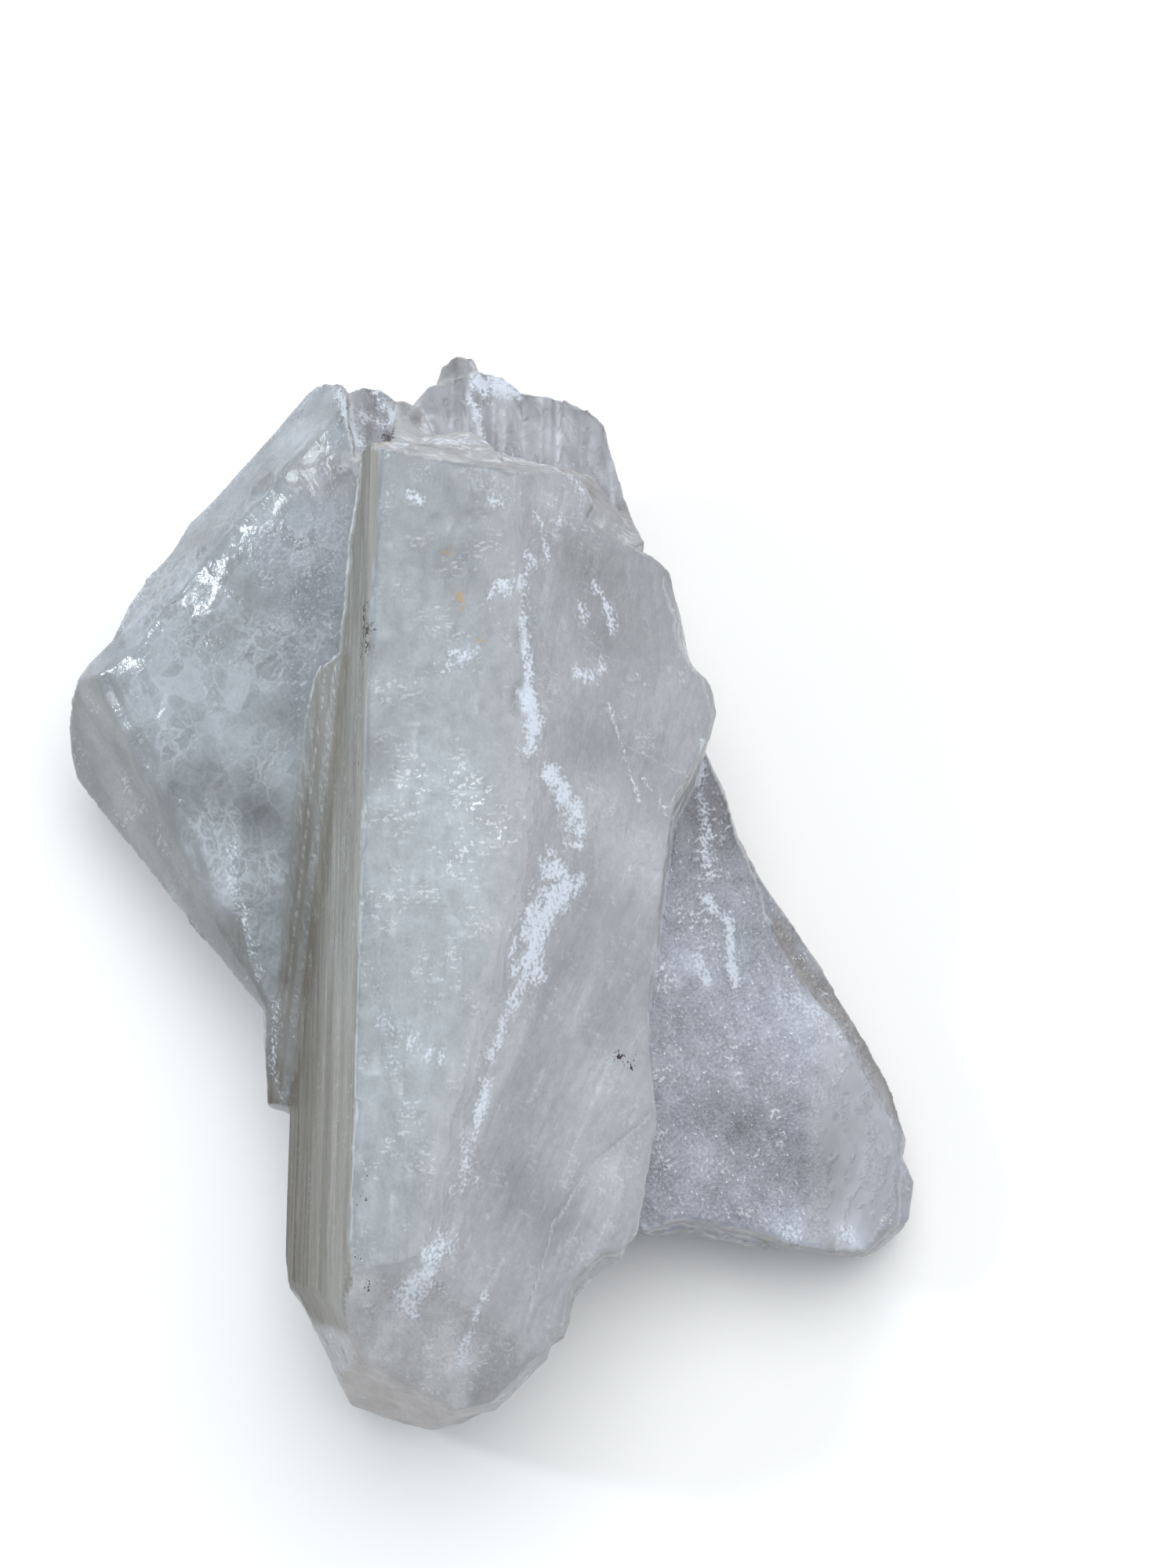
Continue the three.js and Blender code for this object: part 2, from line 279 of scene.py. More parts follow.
def linear(red, green, blue):
    """A colour as seen on a screen, from 0 to 255, in the renderer's light values."""
    screen = np.array([red, green, blue]) / 255
    return np.where(screen <= 0.04045, screen / 12.92, ((screen + 0.055) / 1.055) ** 2.4)


class Area:
    """One flat face of the cluster, known by three of its corners, and how its surface grew.

    relief gives the height of its fine surface, and milk how cloudy it is, from 0 (clear) to 1 (milky).
    clear and milky are the two colours that the cloudiness runs between. A point is on the face if it lies
    within reach of its plane, faces its way and has its Y in the span. The fine patterns are given by how
    strongly each shows: fibres along the grain, sheets, flakes, painted glints (bright specks that stand in
    for glints), white veins and grit."""

    PATTERNS = ("fibres", "sheets", "flakes", "painted_glints", "veins", "grit")
    FULL_REACH = 0.6
    SPAN_BLUR = 1

    def __init__(
        self, corners, relief, milk, clear, milky,
        grain_turn=0, reach=1.5, facing=(0.86, 0.95), span=(-80, 80), roughness=0.3, **patterns,
    ):
        a, b, c = (np.array(corner, float) for corner in corners)
        normal = np.cross(b - a, c - a)
        self.corner = a
        self.normal = normal / np.linalg.norm(normal)
        angle = math.radians(grain_turn)
        along = np.array([-math.sin(angle), math.cos(angle), 0])
        along -= (along @ self.normal) * self.normal
        self.along = along / np.linalg.norm(along)
        self.across = np.cross(self.along, self.normal)
        self.relief = relief
        self.milk = milk
        # The clear colour is the stone's grey tint darkened as painted shade: it stands in for the dim depth
        # seen through clear stone.
        self.clear = linear(*clear)
        self.milky = linear(*milky)
        self.reach = reach
        self.facing = facing
        self.span = span
        self.roughness = roughness
        self.patterns = {name: patterns.get(name, 0) for name in self.PATTERNS}

    def share(self, places, normals):
        """How far each point belongs to this face, from 0 to 1."""
        off = np.abs((places - self.corner) @ self.normal)
        near = smooth_step(self.reach, self.FULL_REACH * self.reach, off)
        low, high = self.span
        after_low = smooth_step(low - self.SPAN_BLUR, low + self.SPAN_BLUR, places[:, 1])
        before_high = smooth_step(high + self.SPAN_BLUR, high - self.SPAN_BLUR, places[:, 1])
        along = after_low * before_high
        return near * along * smooth_step(*self.facing, normals @ self.normal)

    def grain(self, places):
        """Places on the face, measured across and along its grain."""
        return np.stack([places @ self.across, places @ self.along], axis=1)

    def colour(self, milk):
        """The stone's colour at each point, by how cloudy it is."""
        return self.clear + (self.milky - self.clear) * milk[:, None]


# The sections below fill these: the faces by name, and the powder, films and painted glints on them.
areas = {}
scuffs = []
films = []
painted_glint_patches = []


def front_relief(places):
    terraces = ledges(rough_noise(places, (6, 10, 9), 1) * 0.07, 0.06)
    pits = 0.02 * noise(places, (1.6, 2.4, 2), 2)
    middle = np.exp(-(((places[:, 1] - 3) / 11) ** 2))
    cross_steps = 0.06 * middle * noise(places, (9, 0.9, 3), 3)
    return terraces + pits + cross_steps


def front_milk(places):
    clouds = 0.07 * rough_noise(places, (6, 9, 8), 4) + 0.16 * noise(places, (0.9, 1.7, 2), 5)
    return FRONT_MILK + clouds + spots(places, FRONT_CLOUDS)


areas["front"] = Area(
    FRONT_CORNERS, front_relief, front_milk, clear=(136, 142, 147), milky=(168, 176, 182),
    fibres=0.08, flakes=0.25, painted_glints=0.3, veins=0.3, grit=0.12,
)

# Patches of painted glints, bright specks painted where the face glints: each is x, y, radius and how thickly
# they lie.
painted_glint_patches += [
    (1, 3, 3, 0.7), (4, -2, 2.5, 0.8), (-7, 5, 2, 0.5), (-12, 4, 2, 0.5), (-10, -1, 1.5, 0.6),
    (-3, -4, 2, 0.6), (-4, 28, 2.5, 0.5), (-12, 32, 2, 0.4), (-8, 56, 4, 0.6), (-7, -18, 2, 0.5),
    (0, -66, 4, 0.4),
]

# White powder on the main blade: gypsum rubbed to dust where the ridge and the face were knocked.
# Each scuff is a path with its half width and how thick the powder lies.
scuffs += [
    ([(6, 30.5), (6.5, 23.5), (7, 18), (8, 13.5), (7, 9.5)], 0.8, 0.8),
    ([(7, 18), (7.8, 13.5), (7, 9.5)], 1.2, 1),
    ([(10, 6.5), (12, 4.5), (13.5, -0.5)], 1.5, 1),
    ([(12, -2.5), (13.5, -2.5)], 0.7, 0.9),
    ([(10, -6), (12, -7.5), (9, -12), (7.5, -16), (7, -19.5)], 2, 0.95),
    ([(8.5, -16.5), (6, -22), (4, -27), (2.5, -31)], 0.9, 0.8),
    ([(2, -34.5), (1, -39)], 0.9, 0.9),
    ([(0.5, -40.5), (-1, -46)], 0.9, 0.6),
    ([(-2, -48), (1, -46)], 0.8, 0.7),
    ([(-3.5, -55), (-5, -58), (-7.5, -61)], 1.8, 0.75),
    ([(2, -60), (-1.5, -68)], 0.5, 0.75),
    ([(-8.5, -28.5), (-6, -31), (-3.5, -31)], 1, 0.8),
    ([(-12, -26.5), (-10, -27.5)], 0.7, 0.5),
    ([(-9.5, 45.5), (-7.5, 44.5)], 0.8, 0.9),
    ([(2.5, 44.5), (3.5, 45.5)], 1, 0.85),
    ([(3.5, 32), (6, 32.5)], 1.1, 0.95),
    ([(1.5, 30.5), (2.5, 27.5)], 0.7, 0.9),
    ([(-3.5, 23), (-0.5, 22.5), (0.5, 23.5)], 0.6, 0.85),
    ([(-3.5, 22), (-4, 19.5)], 0.5, 0.8),
    ([(14, 31), (15, 30)], 0.9, 0.95),
    ([(16, 34), (17, 32.5), (18, 29.5)], 0.8, 1),
    ([(13, 21.5), (15, 21.5), (16.5, 22.5)], 0.7, 0.9),
    ([(7.5, 43.5), (8.5, 42)], 0.6, 0.9),
    ([(8.5, 39.5), (9.5, 37.5)], 0.5, 0.85),
    ([(8, 36.5), (9, 36)], 0.5, 0.85),
    ([(17.5, 18), (20, 10), (22.5, 2.5)], 0.25, 0.75),
    ([(22, 8.5), (25.5, 3.5)], 0.25, 0.7),
    ([(18, 17.5), (21.5, 15)], 0.2, 0.6),
    ([(24, 4), (25.5, 5)], 0.2, 0.6),
    ([(9.5, 45.5), (11.5, 42.5)], 0.25, 0.75),
    ([(6, 38.5), (8, 35)], 0.25, 0.7),
    ([(21.5, 23), (22.5, 22)], 0.3, 0.7),
]

# Main blade, right face: it falls away from the middle ridge in two parts.
# The upper part has long curved sheets over a clear core, the lower one slanting splinters.
RIGHT_UPPER_CORNERS = [(6.25, -2.8, 45.5), (31.25, 17.2, 33.5), (5.25, 35.2, 46.8)]
RIGHT_LOWER_CORNERS = [(6.25, -6.8, 45.3), (-6.75, -60.8, 43.4), (23.25, -36.8, 31)]
RIGHT_UPPER_TURN = -12
RIGHT_LOWER_TURN = -24
RIGHT_UPPER_MILK = 0.5
RIGHT_LOWER_MILK = 0.54
RIGHT_CLOUDS = [
    (13, 39.5, 5, -0.15), (16, 35.5, 5, -0.15), (18, 27, 4, -0.15), (16, 11, 6, -0.15), (28.5, 22.5, 4, 0.1),
    (9.5, 45.5, 3.5, 0.2), (16, 5.5, 4, 0.2), (22, -3, 5, 0.3), (4, -45.5, 4, -0.2), (10, -49.5, 4, -0.2),
    (13.5, -18.5, 3, -0.1), (17, -32, 5, 0.2), (16, -43.5, 4, 0.2),
]


def turned(places, degrees):
    """Places turned about the upright, so that +Y runs the given angle to the left of the blade."""
    angle = math.radians(degrees)
    across = places[:, 0] * math.cos(angle) + places[:, 1] * math.sin(angle)
    along = places[:, 1] * math.cos(angle) - places[:, 0] * math.sin(angle)
    return np.stack([across, along, places[:, 2]], axis=1)


def right_upper_relief(places):
    sheets = ledges(rough_noise(turned(places, RIGHT_UPPER_TURN), (7, 18, 12), 11) * 0.08, 0.07)
    ripples = 0.03 * noise(places, (1.5, 4, 2), 12)
    return sheets + ripples


def right_lower_relief(places):
    slanted = turned(places, RIGHT_LOWER_TURN)
    splinters = ledges(rough_noise(slanted, (3.5, 20, 20), 13) * 0.1, 0.08)
    grooves = 0.04 * noise(slanted, (1, 9, 9), 14)
    return splinters + grooves


def right_upper_milk(places):
    clouds = 0.1 * rough_noise(turned(places, RIGHT_UPPER_TURN), (7, 12, 14), 15)
    return RIGHT_UPPER_MILK + clouds + spots(places, RIGHT_CLOUDS)


def right_lower_milk(places):
    streaks = 0.1 * rough_noise(turned(places, RIGHT_LOWER_TURN), (2.4, 14, 20), 16)
    return RIGHT_LOWER_MILK + streaks + spots(places, RIGHT_CLOUDS)


areas["right_upper"] = Area(
    RIGHT_UPPER_CORNERS, right_upper_relief, right_upper_milk, clear=(160, 160, 163), milky=(188, 191, 197),
    grain_turn=RIGHT_UPPER_TURN, reach=2.5, fibres=0.06, sheets=0.6, flakes=0.3, painted_glints=0.25,
)
areas["right_lower"] = Area(
    RIGHT_LOWER_CORNERS, right_lower_relief, right_lower_milk, clear=(166, 167, 171), milky=(192, 195, 202),
    grain_turn=RIGHT_LOWER_TURN, reach=3.5, fibres=0.2, sheets=0.35, flakes=0.25, painted_glints=0.2,
)

# Main blade, left side: the fibrous side of the stacked cleavage leaves, with one more leaf at its foot.
# It has fine grooves along the whole blade and a brown film in them.
SIDE_CORNERS = [(-14.75, 47.2, 46.5), (-25.45, -42.8, 18), (-14.75, -59.8, 43)]
LEAF_CORNERS = [(-18.15, 25.6, 37.7), (-26.95, -7.8, 23.5), (-25.05, -31.9, 19.2)]
SIDE_MILK = 0.74
# It is clearer towards the tip, by Y, and clearer and darker towards its foot, by height.
# The darkening at the foot is painted shade, where the side sinks down to the plate.
SIDE_FOOT = (40, 20)
SIDE_FOOT_CLEARER_AND_SHADED = 0.6
SIDE_TIPWARD = (-5, -40)
SIDE_TIPWARD_CLEARER = 0.16


def side_relief(places):
    grooves = 0.03 * noise(places, (1.1, 60, 1.1), 21) + 0.04 * noise(places, (0.7, 18, 0.7), 22)
    flutes = 0.04 * noise(places, (3.1, 32, 3.1), 25)
    return grooves + flutes


def side_milk(places):
    foot = smooth_step(*SIDE_FOOT, places[:, 2])
    tipward = smooth_step(*SIDE_TIPWARD, places[:, 1])
    streaks = 0.12 * noise(places, (2.6, 24, 2.6), 23) + 0.12 * noise(places, (0.8, 11, 0.8), 24)
    # The foot term darkens the low part of the side as painted shade.
    return SIDE_MILK + streaks - SIDE_FOOT_CLEARER_AND_SHADED * foot - SIDE_TIPWARD_CLEARER * tipward


for name, corners, facing in (("side", SIDE_CORNERS, (0.7, 0.88)), ("leaf", LEAF_CORNERS, (0.94, 0.975))):
    areas[name] = Area(
        corners, side_relief, side_milk, clear=(121, 114, 101), milky=(165, 167, 163),
        reach=3, facing=facing, roughness=0.4, fibres=0.8, painted_glints=0.15,
    )

films += [([(-25, -32), (-23.5, -25), (-23, -12.5), (-21, -6), (-18, 25.5)], 0.8, 0.35)]
scuffs += [([(-27.5, -17.5), (-28, -22), (-28, -26), (-26.5, -30.5)], 0.7, 0.45)]

# Main blade, tip: a nose and a chisel face, where the blade's end broke off. It is smoky where the clear
# core shows. Any surface that lies on no named face is a break across the leaves, and is set here too.
NOSE_CORNERS = [(-14.05, -58.3, 43.5), (-14.15, -67.6, 34.5), (-4.55, -72, 29)]
CHISEL_CORNERS = [(-14.15, -67.6, 33), (-8.75, -73.8, 8), (-4.55, -72, 28)]
TIP_FACING = (0.75, 0.92)
TIP_MILK = 0.56
BROKEN_MILK = 0.55


def tip_relief(places):
    lumps = 0.15 * rough_noise(places, 5, 35)
    creases = 0.05 * np.abs(noise(places, 1.6, 36))
    return lumps + creases


def tip_milk(places):
    streaks = 0.2 * rough_noise(turned(places, RIGHT_LOWER_TURN), (3, 9, 6), 34)
    return TIP_MILK + streaks


def broken_relief(places):
    leaves = ledges(rough_noise(places, (9, 14, 3.2), 31) * 0.3, 0.22)
    creases = 0.05 * np.abs(noise(places, 1.6, 32))
    return leaves + creases


def broken_milk(places):
    layers = 0.16 * rough_noise(places, (5, 7, 2.2), 33)
    return BROKEN_MILK + layers


areas["nose"] = Area(
    NOSE_CORNERS, tip_relief, tip_milk, clear=(164, 163, 164), milky=(199, 200, 204),
    reach=3, facing=TIP_FACING, span=(-80, -50),
    fibres=0.2, sheets=0.3, flakes=0.4, painted_glints=0.3, grit=0.3,
)
areas["chisel"] = Area(
    CHISEL_CORNERS, tip_relief, tip_milk, clear=(153, 145, 141), milky=(188, 184, 184),
    reach=3, facing=TIP_FACING, span=(-80, -55),
    sheets=0.12, flakes=0.5, painted_glints=0.3, veins=0.2, grit=0.4,
)
broken = Area(
    CHISEL_CORNERS, broken_relief, broken_milk, clear=(157, 154, 151), milky=(197, 199, 203),
    roughness=0.35, fibres=0.5, flakes=0.3, painted_glints=0.4, grit=0.5,
)

# Plate: a clear, flawed plate to the left, with a bevel along its lower edge.
# Inside it is cracked into small windows with white veils between them.
PLATE_CORNERS = [(-16.25, 51.2, 43), (-51.75, 27.2, 27), (-28.25, -18.8, 20)]
BEVEL_CORNERS = [(-54.25, 28.7, 26.5), (-51.75, 6.7, 12), (-30.25, -16.3, 19.7)]
RIM_CORNERS = [(-19.75, 61.2, 43.3), (-22.25, 63.7, 40), (-52.75, 29.2, 26.6)]
PLATE_TURN = 30
PLATE_MILK = 0.45
PLATE_SPOT_STRENGTH = 0.55
BEVEL_MILK = 0.45
# Two flat chips knocked off the ridge between plate and rim: each a place on it with a radius.
PLATE_CHIPS = [((-40.5, 39.6, 32.7), 6.5), ((-25, 54, 40.8), 5.5)]
CHIP_FACING = np.array((-0.37, -0.2, 0.907))
CHIP_CORE = 0.5
# Spots in the plate's cloudiness, each x, y, radius and how much milkier it is there. Positive ones are white
# veils, negative ones clear, darker windows. Those at (-21, 31) and (-20, 20), along the plate's right part
# beside the blade, are painted shadow. The spots at (-41, 40) and (-25, 57) lie where the lamp's highlights
# fall, and are partly white veil and partly painted highlight.
PLATE_VEILS_AND_PAINTED_LIGHT = [
    (-49.5, 27, 6, 0.3), (-44, 25, 6, 0.35), (-38, 23, 6, 0.3), (-31, 21, 6, 0.15), (-34, -1, 3.5, 0.5),
    (-23, 48, 5, 0.35), (-25, 57, 4, 0.35), (-30, 44, 5, 0.25), (-41, 40, 4, 0.35), (-39.5, 5.5, 3, 0.3),
    (-30, 8, 3.5, -0.5), (-31.5, 12.5, 2.5, -0.4), (-37, 12.5, 2.5, -0.35), (-43, 12, 2, -0.35),
    (-21, 31, 7, -0.35), (-24, 5, 5, -0.35), (-27, -8, 7, -0.4), (-31, 33, 4, -0.2), (-34, 48, 3, -0.15),
    (-20, 20, 6, -0.3),
]


def plate_relief(places):
    relief = 0.07 * rough_noise(places, 9, 41) + 0.02 * noise(places, 2.2, 42)
    for middle, radius in PLATE_CHIPS:
        from_middle = places - middle
        inside = smooth_step(radius, CHIP_CORE * radius, np.linalg.norm(from_middle, axis=1))
        relief -= inside * np.maximum(from_middle @ CHIP_FACING + relief, 0)
    return relief


def plate_milk(places):
    clouds = 0.14 * rough_noise(places, 4, 55)
    return PLATE_MILK + clouds + PLATE_SPOT_STRENGTH * spots(places, PLATE_VEILS_AND_PAINTED_LIGHT)


def bevel_relief(places):
    flutes = 0.08 * noise(turned(places, PLATE_TURN), (2, 12, 4), 43)
    pits = 0.03 * noise(places, 1.4, 44)
    return flutes + pits


def bevel_milk(places):
    streaks = 0.2 * rough_noise(turned(places, PLATE_TURN), (2.5, 9, 5), 56)
    return BEVEL_MILK + streaks


areas["plate"] = Area(
    PLATE_CORNERS, plate_relief, plate_milk, clear=(134, 141, 141), milky=(186, 192, 201),
    grain_turn=PLATE_TURN, reach=2, roughness=0.17,
    flakes=1.3, painted_glints=0.15, veins=1.4, grit=0.05,
)
areas["rim"] = Area(
    RIM_CORNERS, plate_relief, plate_milk, clear=(138, 144, 147), milky=(190, 196, 206),
    grain_turn=PLATE_TURN, reach=4, facing=(0.75, 0.88), span=(20, 80), roughness=0.14,
    flakes=1.3, painted_glints=0.2, veins=1.6, grit=0.05,
)
areas["bevel"] = Area(
    BEVEL_CORNERS, bevel_relief, bevel_milk, clear=(142, 147, 146), milky=(172, 177, 178),
    grain_turn=PLATE_TURN, reach=2, roughness=0.2,
    fibres=0.15, sheets=0.3, flakes=0.2, painted_glints=0.3, veins=0.1,
)

scuffs += [
    ([(-23, 67), (-29, 62.5), (-38, 53.5), (-42, 50.5), (-48.5, 42.5), (-52.5, 33.5)], 0.9, 0.4),
    ([(-34, 3), (-34.5, -1), (-32.5, -5)], 1, 0.55),
    ([(-32.5, -6), (-30, -14.5)], 0.5, 0.6),
]

# Right blade: a thinner blade with a grainy face in two layers, its glitter painted on as bright specks
# (painted highlight).
# Its core is clear and a little violet, and veils hang in it.
BLADE_CORNERS = [(30.75, 17.7, 26), (22.25, -48.8, 18), (59.25, -40.8, 13)]
BLADE_TURN = 25
BLADE_MILK = 0.57
BLADE_VEILS = [
    (36, -34.5, 4, -0.3), (46, -39, 6, -0.35), (33, 9, 8, -0.6), (38.5, -7, 4, -0.2), (41.5, -17.5, 4, 0.2),
    (46, -19.5, 4, 0.25), (43.5, -25, 4, 0.2), (37, -20, 3, 0.2), (50, -48, 3.5, 0.4), (41, -47, 3, 0.3),
    (24.5, -13, 4, 0.2), (29.5, -12.5, 2.5, 0.2), (30, -39, 3, 0.2),
]


def blade_relief(places):
    swells = 0.12 * rough_noise(turned(places, BLADE_TURN), (6, 9, 8), 61)
    grains = 0.05 * noise(places, 1.5, 62)
    return swells + grains


def blade_milk(places):
    slanted = turned(places, BLADE_TURN)
    clouds = 0.08 * rough_noise(slanted, (5, 7, 6), 63) + 0.15 * noise(slanted, (0.9, 1.8, 1), 64)
    return BLADE_MILK + clouds + spots(places, BLADE_VEILS)


areas["blade"] = Area(
    BLADE_CORNERS, blade_relief, blade_milk, clear=(128, 129, 138), milky=(177, 183, 196),
    grain_turn=BLADE_TURN, reach=4.5, roughness=0.25,
    fibres=0.1, flakes=0.7, painted_glints=0.6, veins=0.35, grit=1,
)
scuffs += [
    ([(30.5, 15), (30, 13), (31, 3.5), (31.5, -1)], 0.7, 0.75),
    ([(31, 5), (31.5, -1)], 0.9, 0.8),
    ([(31, -4), (33, -5.5), (34.5, -8), (34, -12.5), (35, -15)], 1, 1),
    ([(30, -12), (30.5, -15)], 0.9, 0.85),
    ([(41.5, -16.5), (46, -18.5), (50, -22.5)], 1.3, 0.5),
    ([(49, -48), (51, -49)], 1.5, 0.7),
    ([(41, -47.5), (43, -48.5)], 1, 0.6),
]

films += [([(41.3, -7), (43.8, -12.4), (49.2, -17), (54.8, -25.4), (58.2, -31.4)], 2, 0.5)]

# Back crystal and root: a shorter crystal with grooves along it, and broken lumps beside it.
# The grooves hold white fibres, and the broken tops are dusty.
BACK_CORNERS = [(19.25, 69.2, 33.5), (-10.75, 57.2, 39), (19.25, 41.2, 37.5)]
BACK_MILK = 0.36


def back_relief(places):
    flutes = 0.14 * rough_noise(places, (3.4, 17, 9), 71)
    grooves = 0.04 * noise(places, (0.9, 7, 4), 72)
    return flutes + grooves


def back_milk(places):
    feathers = 0.4 * rough_noise(places, (1.3, 6, 8), 73)
    clouds = 0.2 * noise(places, 5, 74)
    return BACK_MILK + feathers + clouds


areas["back"] = Area(
    BACK_CORNERS, back_relief, back_milk, clear=(152, 149, 148), milky=(198, 202, 208),
    reach=2, facing=(0.7, 0.9), span=(48, 80),
    fibres=0.5, sheets=0.2, flakes=0.3, painted_glints=0.3,
)
scuffs += [
    ([(-6, 56.5), (-1.5, 56), (2.5, 56), (5.5, 55), (8.5, 53)], 0.8, 0.8),
    ([(-13, 51.5), (-10.5, 54.5), (-6, 56)], 0.9, 0.6),
    ([(8.5, 53), (11.5, 51.5), (14, 48.5)], 0.8, 0.7),
    ([(-0.5, 68.5), (2.5, 68.5), (4, 68)], 2, 0.9),
    ([(-2, 66.5), (-1, 63), (-0.5, 60)], 0.9, 0.8),
    ([(-20, 64), (-18.5, 60), (-17, 56)], 0.8, 0.8),
    ([(-15, 65.5), (-12.5, 61)], 1.1, 0.75),
    ([(-16.5, 61), (-14, 60)], 1, 0.75),
]

# Growing the surface: each face's own relief is raised on the skin, and then the skin is thinned
# where it is flat. What the specimen rests on stays flat.
# The relief sets in between these heights above the table.
RELIEF_HEIGHTS = (0.3, 1.5)


def shares_of(places, normals):
    """Each area with its share of each point. What is left over is broken surface."""
    shares = [area.share(places, normals) for area in areas.values()]
    total = sum(shares)
    pairs = [(area, share / np.maximum(total, 1)) for area, share in zip(areas.values(), shares)]
    return pairs + [(broken, np.clip(1 - total, 0, 1))]


places, normals = places_and_normals(crystal.data)
relief = sum(share * area.relief(places) for area, share in shares_of(places, normals))
relief *= smooth_step(*RELIEF_HEIGHTS, places[:, 2])
places += normals * relief[:, None]
crystal.data.vertices.foreach_set("co", (places * MM).ravel())

triangles = sum(len(face.vertices) - 2 for face in crystal.data.polygons)
thin = crystal.modifiers.new("thin", "DECIMATE")
thin.ratio = min(1, SKIN_TRIANGLES / triangles)
apply_modifiers(crystal)
crystal.data.polygons.foreach_set("use_smooth", [True] * len(crystal.data.polygons))

# Colour in the stone: cloudiness, films, powder, dirt, rust and painted glints are worked out for each point
# of the skin.
# The finish below reads them and adds what is finer than the skin.
FILM_COLOUR = linear(120, 108, 92)
# Each spot is x, y, radius and how dense it is.
DIRT = [
    (-15, 30, 1.2, 0.6), (-14.6, 26.5, 1.4, 0.8), (-14.6, 23.5, 1.3, 0.8), (-15.5, 9, 1, 0.4),
    (-15.8, 2, 1.2, 0.4), (-13, -46, 1, 0.4), (-13, -49.5, 1, 0.6), (-13.3, -56, 1, 0.5),
    (-12.3, -59.5, 1, 0.5), (-9, -61, 1, 0.4), (18.7, -28.7, 0.8, 0.9), (20.2, -29.8, 0.7, 0.9),
    (-13, 57.5, 1.6, 0.8),
]
RUST_SPOTS = [
    (-4, 37, 0.9, 0.7), (-2.6, 31, 0.9, 1), (-2, 29.5, 0.6, 0.7), (0.8, 24.5, 1, 0.5), (-13.5, 54, 0.9, 0.5),
]
# How far a point stands out from its neighbours, or lies behind them, to count as rubbed or creased.
RUBBED_EDGE = (0.02, 0.1)
CREASED_EDGE = (0.01, 0.06)
RUBBED_MILK = 0.35
CREASED_MILK = 0.4
RUBBED_POWDER = 0.3
# Powder and film fade out between these multiples of a path's half width, and lie on what faces up.
POWDER_FADE = (1.5, 0)
FILM_FADE = (1.3, 0.3)
FILM_RAGGED = 0.4
FACING_UP = (0.1, 0.4)
# On broken faces the grain shifts with X, by these shares across and along it.
BROKEN_SHIFT = (0.35, 0.5)
GRAIN_BEND = 1.1
GRAIN_BEND_SIZE = 3.5
LEAST_VEILED = 0.25

places, normals = places_and_normals(crystal.data)
edge = ((places - neighbour_middles(neighbours_of(crystal.data), places)) * normals).sum(axis=1)
rubbed = smooth_step(*RUBBED_EDGE, edge) * smooth_step(-0.5, 0.5, noise(places, 3, 84))
creased = smooth_step(*CREASED_EDGE, -edge)
milk = np.zeros(len(places))
roughness = np.zeros(len(places))
colour = np.zeros((len(places), 3))
patterns = {name: np.zeros(len(places)) for name in Area.PATTERNS}
shift_across, shift_along = BROKEN_SHIFT
grain_across = places[:, 2] + shift_across * places[:, 0]
grain_along = places[:, 1] + shift_along * places[:, 0]
grain = np.stack([grain_across, grain_along], axis=1)
shares = shares_of(places, normals)
face = np.argmax([share for area, share in shares], axis=0)
for index, (area, share) in enumerate(shares):
    area_milk = np.clip(area.milk(places) + RUBBED_MILK * rubbed + CREASED_MILK * creased, 0, 1)
    milk += share * area_milk
    roughness += share * area.roughness
    colour += share[:, None] * area.colour(area_milk)
    for name, amount in area.patterns.items():
        patterns[name] += share * amount
    if area is not broken:
        grain[face == index] = area.grain(places[face == index])
# The grain turns at once where two faces meet, so the fine patterns are left out along that seam.
here, there = neighbours_of(crystal.data)
steady = np.ones(len(places))
steady[here[face[here] != face[there]]] = 0
for amount in patterns.values():
    amount *= steady

powder = RUBBED_POWDER * rubbed
ragged = 0.6 * noise(places, (0.9, 1.8, 1.2), 81) + 0.5 * noise(places, (0.6, 0.8, 0.6), 82)
facing_up = smooth_step(*FACING_UP, normals[:, 2])
for path, half_width, depth in scuffs:
    gap = gap_to_path(places, path) / half_width + ragged
    powder = np.maximum(powder, depth * smooth_step(*POWDER_FADE, gap) * facing_up)

film = np.zeros(len(places))
for path, half_width, depth in films:
    gap = gap_to_path(places, path) / half_width + FILM_RAGGED * ragged
    film = np.maximum(film, depth * smooth_step(*FILM_FADE, gap) * facing_up)
colour += (FILM_COLOUR - colour) * film[:, None]
dirt = spots(places, DIRT) * facing_up
rust = spots(places, RUST_SPOTS) * facing_up


def store(name, *columns):
    """Keeps three values for each point of the skin."""
    attribute = crystal.data.attributes.new(name, "FLOAT_VECTOR", "POINT")
    attribute.data.foreach_set("vector", np.stack(columns, axis=1).astype(np.float32).ravel())


bend = [GRAIN_BEND * rough_noise(places, GRAIN_BEND_SIZE, 85 + axis, 2) for axis in range(2)]
clusters = smooth_step(0.1, 0.6, noise(places, (2.5, 3.5, 2.5), 87))
veined = smooth_step(-0.4, 0.3, noise(places, 8, 88))
veiled = LEAST_VEILED + (1 - LEAST_VEILED) * smooth_step(-0.2, 0.4, noise(places, 6, 89))
# Painted highlight: the glint patches add more near-white specks to the painted glints.
painted_glinting = spots(places, painted_glint_patches) * smooth_step(-0.2, 0.3, noise(places, (2, 1, 1), 90))
painted_glint_amount = (patterns["painted_glints"] * clusters + painted_glinting) * steady
store("grain", *grain.T, steady)
store("bent_grain", *(grain.T + bend), np.zeros(len(places)))
store("body_colour", *colour.T)
store("body", milk, roughness, powder)
store("texture", patterns["fibres"], patterns["sheets"], patterns["flakes"])
store("marks", painted_glint_amount, patterns["veins"] * veiled, veined)
store("stains", dirt, rust, patterns["grit"])

